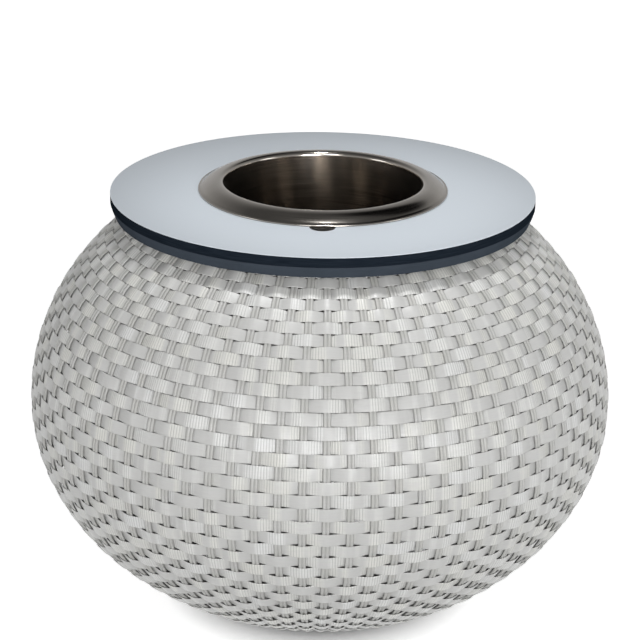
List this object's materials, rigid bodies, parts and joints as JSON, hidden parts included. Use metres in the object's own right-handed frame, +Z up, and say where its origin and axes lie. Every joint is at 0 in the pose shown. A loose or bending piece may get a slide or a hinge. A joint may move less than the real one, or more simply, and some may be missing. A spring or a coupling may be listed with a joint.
{
  "type": "ice bucket coffee table",
  "caption": "Round globe-shaped woven garden coffee table with a flat round top and a steel ice bucket that hangs in its centre and lifts out.",
  "frame": {"origin": "on the floor, at the middle of the table, on the globe's axis", "axes": "+Z up along the globe's axis, -Y towards the front, where the finger notch is"},
  "size_m": [0.5992, 0.5998, 0.45],
  "materials": {
    "resin_wicker": "flat woven resin strands with a fine rib, satin",
    "pale_decor": "smooth satin laminate",
    "dark_core": "cut and polished laminate core, satin",
    "charcoal_coat": "fine powder coat, satin",
    "polished_steel": "polished stainless steel",
    "frame_coat": "powder coat over aluminium tube",
    "zinc_steel": "zinc plated",
    "black_nylon": "moulded, matte"
  },
  "bodies": {
    "table": {"woven_globe": "resin_wicker", "binding_upper": "resin_wicker", "binding_lower": "resin_wicker", "frame_ring_upper": "frame_coat", "frame_ring_middle": "frame_coat", "frame_ring_lower": "frame_coat", "frame_rib_1": "frame_coat", "frame_rib_2": "frame_coat", "frame_rib_3": "frame_coat", "frame_rib_4": "frame_coat", "frame_rib_5": "frame_coat", "frame_rib_6": "frame_coat", "base_bar_long": "frame_coat", "base_bar_short_left": "frame_coat", "base_bar_short_right": "frame_coat", "foot_1": "black_nylon", "foot_2": "black_nylon", "foot_3": "black_nylon", "foot_4": "black_nylon", "foot_screw_1": "zinc_steel", "foot_screw_2": "zinc_steel", "foot_screw_3": "zinc_steel", "foot_screw_4": "zinc_steel", "carrier_ring": "charcoal_coat", "top_core_board": "dark_core", "top_decor_sheet": "pale_decor", "mount_bracket_1": "zinc_steel", "mount_bracket_2": "zinc_steel", "mount_bracket_3": "zinc_steel", "mount_bracket_4": "zinc_steel", "bracket_bolt_1": "zinc_steel", "bracket_bolt_2": "zinc_steel", "bracket_bolt_3": "zinc_steel", "bracket_bolt_4": "zinc_steel", "carrier_screw_1": "zinc_steel", "carrier_screw_2": "zinc_steel", "carrier_screw_3": "zinc_steel", "carrier_screw_4": "zinc_steel"},
    "bucket": {"ice_bucket": "polished_steel"}
  },
  "joints": [
    {"name": "bucket_lift", "type": "slide", "parent": "table", "child": "bucket", "axis": [0, 0, 1], "range_m": [0, 0.22]}
  ]
}
